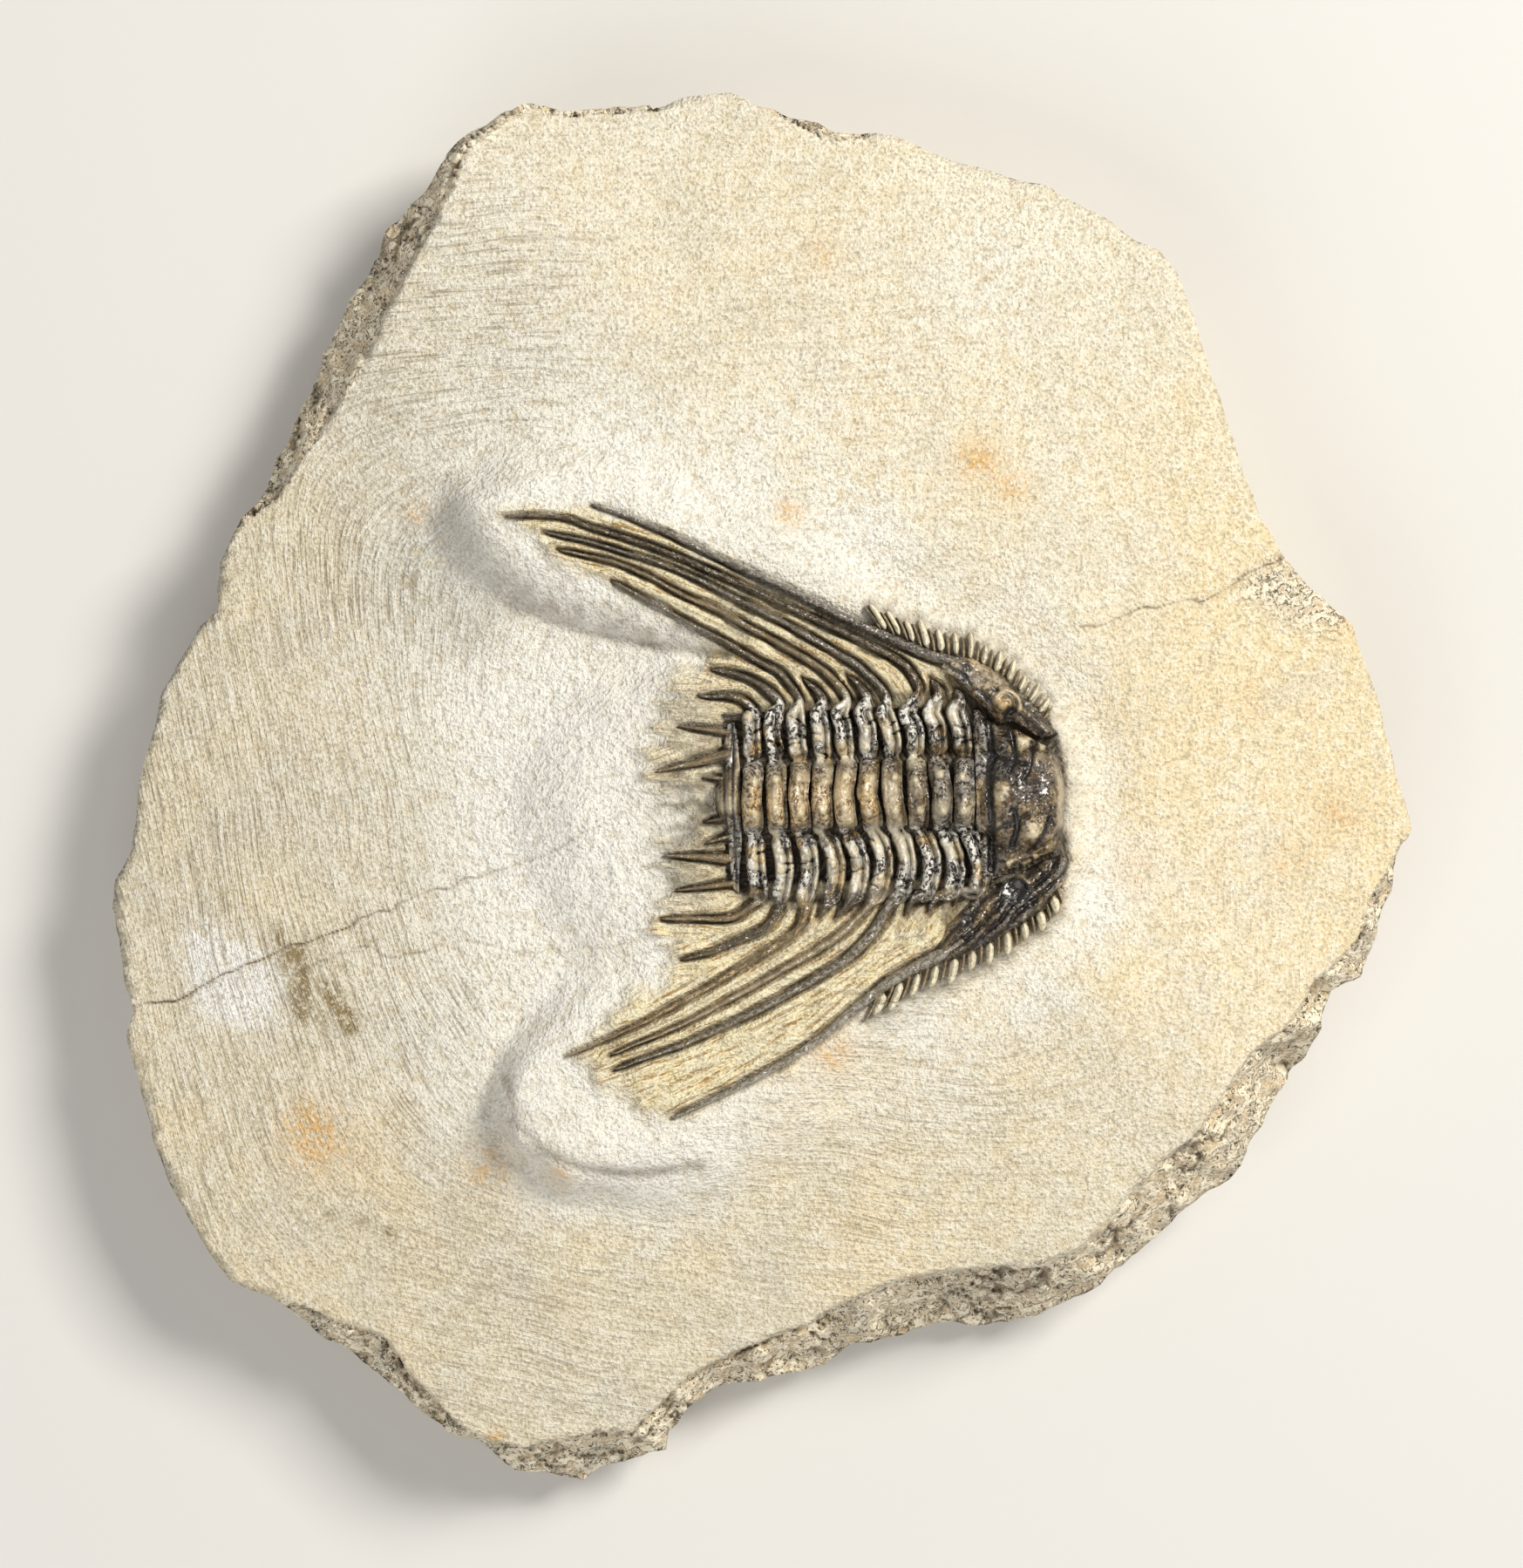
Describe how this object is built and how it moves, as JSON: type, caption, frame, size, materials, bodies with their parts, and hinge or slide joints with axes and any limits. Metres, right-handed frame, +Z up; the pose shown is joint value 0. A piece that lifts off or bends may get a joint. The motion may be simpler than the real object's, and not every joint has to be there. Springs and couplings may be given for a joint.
{
  "type": "fossil trilobite in its matrix",
  "caption": "Spiny fossil trilobite, head to tail with swept-back fans of spines, lying on a raised bed of a prepared limestone block.",
  "frame": {"origin": "middle of the bounding box, on the plane of the flat underside that the block rests on", "axes": "+Z up out of the prepared face, +X the way the animal's head points, +Y its left side"},
  "size_m": [0.0976, 0.1044, 0.0206],
  "materials": {
    "limestone": "matt cream limestone, ground and air-abraded on top, rough where broken",
    "shell_cranidium": "glossy black-brown fossil calcite",
    "shell_free_cheek_left": "glossy black-brown fossil calcite",
    "shell_free_cheek_right": "glossy black-brown fossil calcite",
    "shell_segment_01": "glossy black-brown fossil calcite",
    "shell_segment_02": "glossy black-brown fossil calcite",
    "shell_segment_03": "glossy black-brown fossil calcite",
    "shell_segment_04": "glossy black-brown fossil calcite",
    "shell_segment_05": "glossy black-brown fossil calcite",
    "shell_segment_06": "glossy black-brown fossil calcite",
    "shell_segment_07": "glossy black-brown fossil calcite",
    "shell_segment_08": "glossy black-brown fossil calcite",
    "shell_segment_09": "glossy black-brown fossil calcite",
    "shell_segment_10": "glossy black-brown fossil calcite",
    "shell_pygidium": "glossy black-brown fossil calcite"
  },
  "bodies": {
    "root": {"matrix": "limestone", "cranidium": "shell_cranidium", "free_cheek_left": "shell_free_cheek_left", "free_cheek_right": "shell_free_cheek_right", "thorax_segment_01": "shell_segment_01", "thorax_segment_02": "shell_segment_02", "thorax_segment_03": "shell_segment_03", "thorax_segment_04": "shell_segment_04", "thorax_segment_05": "shell_segment_05", "thorax_segment_06": "shell_segment_06", "thorax_segment_07": "shell_segment_07", "thorax_segment_08": "shell_segment_08", "thorax_segment_09": "shell_segment_09", "thorax_segment_10": "shell_segment_10", "pygidium": "shell_pygidium"}
  },
  "joints": []
}
